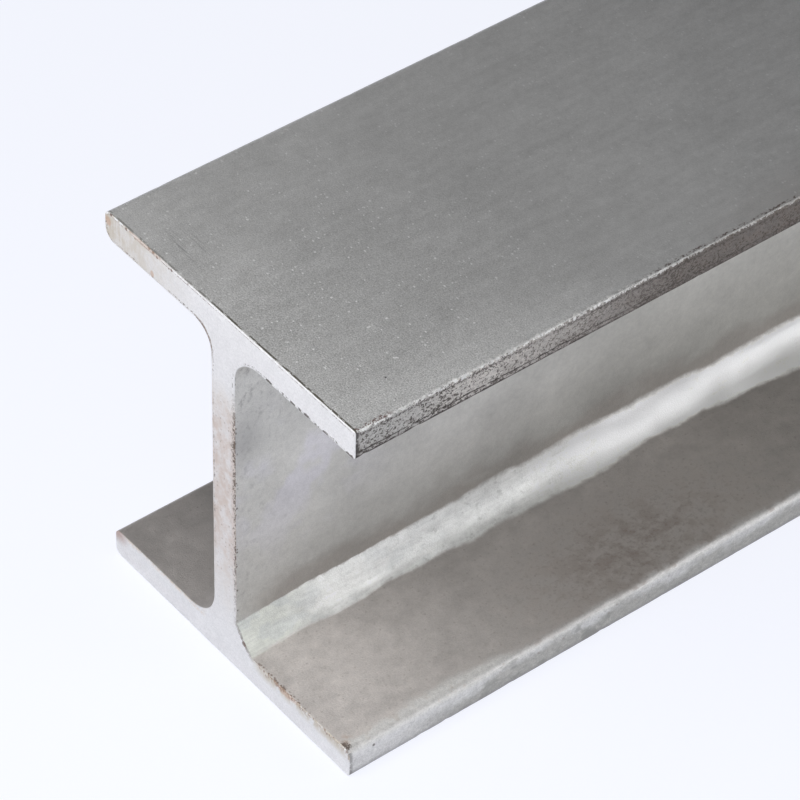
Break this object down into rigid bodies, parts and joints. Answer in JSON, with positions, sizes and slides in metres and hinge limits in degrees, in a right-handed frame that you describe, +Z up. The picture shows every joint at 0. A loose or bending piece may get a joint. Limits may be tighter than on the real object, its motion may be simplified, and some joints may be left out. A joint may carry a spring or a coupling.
{
  "type": "aluminium h-beam",
  "caption": "Straight length of aluminium H-section with wide flat flanges, a thick web, filleted roots and sawn square ends, for framing, supports and bearers.",
  "frame": {"origin": "on the floor under the middle of the beam: midway along its length, midway between the flange tips, at the lower flange's bottom face", "axes": "+Y along the beam, away from the sawn end that the picture shows; +X across the flanges, towards the mostly crisp tips; +Z up, out of the upper flange's outer face"},
  "size_m": [0.1006, 0.5, 0.12],
  "materials": {
    "mill_aluminium": "dull mill finish, fine matt grain, with paler sawn ends and specks of brown dirt along the arrises"
  },
  "bodies": {
    "root": {"h_beam": "mill_aluminium"}
  },
  "joints": []
}
